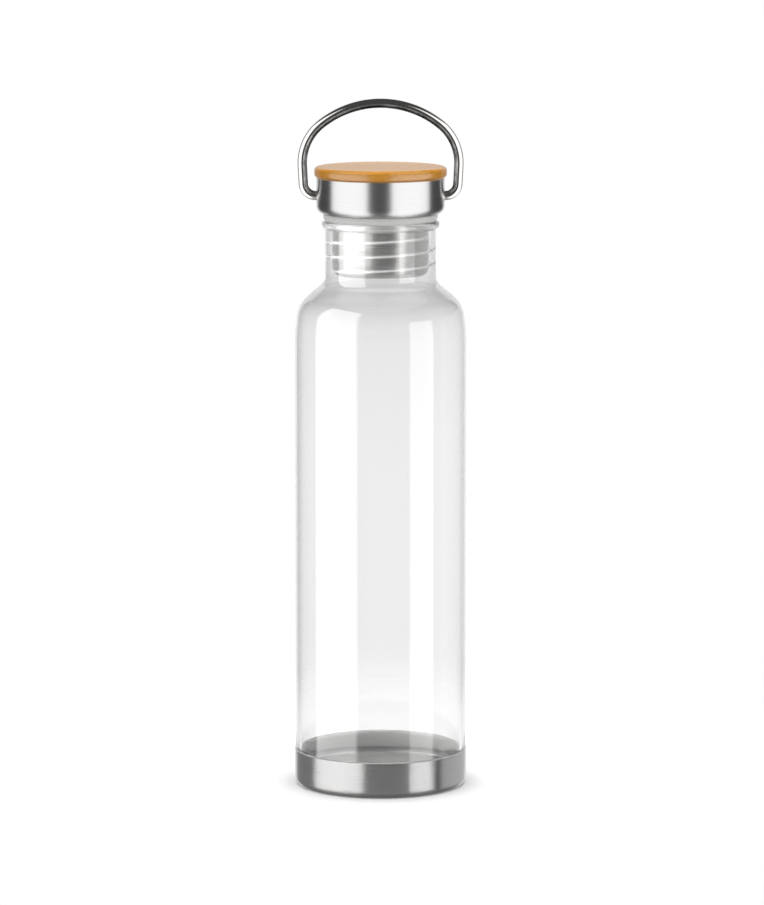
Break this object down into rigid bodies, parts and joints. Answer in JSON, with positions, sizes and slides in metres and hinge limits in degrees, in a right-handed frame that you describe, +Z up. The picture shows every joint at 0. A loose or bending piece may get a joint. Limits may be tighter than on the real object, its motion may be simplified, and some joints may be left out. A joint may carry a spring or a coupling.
{
  "type": "glass water bottle",
  "caption": "Clear glass water bottle with a steel base cup and a screw-in steel and bamboo lid that carries a swinging wire handle.",
  "frame": {"origin": "centre of the underside of the base cup, on the axis of the bottle", "axes": "+Z up along the axis of the bottle, X parallel to the pivot line of the handle, -Y is the front"},
  "size_m": [0.0728, 0.0728, 0.291],
  "materials": {
    "glass": "clear, polished",
    "brushed_steel": "brushed round the axis",
    "polished_steel": "polished stainless wire",
    "bamboo": "sanded, oiled",
    "silicone": "translucent, satin",
    "foam": "matte",
    "adhesive": "clear, cured",
    "polypropylene": "moulded, matte"
  },
  "bodies": {
    "bottle": {"glass_bottle": "glass", "base_cup": "brushed_steel", "base_cushion": "foam", "base_bond": "adhesive"},
    "gasket": {"lid_gasket": "silicone"},
    "lid": {"lid_shell": "brushed_steel", "plug_cup": "brushed_steel", "plug_liner": "polypropylene", "lid_core": "polypropylene", "bamboo_disc": "bamboo", "bamboo_bond": "adhesive"},
    "handle": {"carry_handle": "polished_steel"}
  },
  "joints": [
    {"name": "lid_rise", "type": "slide", "parent": "bottle", "child": "gasket", "axis": [0, 0, 1], "range_m": [0, 0.03]},
    {"name": "lid_turn", "type": "hinge", "parent": "gasket", "child": "lid", "pos_m": [0, 0, 0.24], "axis": [0, 0, 1], "range_deg": [0, 1800]},
    {"name": "handle_swing", "type": "hinge", "parent": "lid", "child": "handle", "pos_m": [0, 0, 0.25029], "axis": [1, 0, 0], "range_deg": [-137, 137]}
  ],
  "couplings": [
    {"joint": "lid_rise", "follows": "lid_turn", "m_per_rad": 0.00095493}
  ]
}
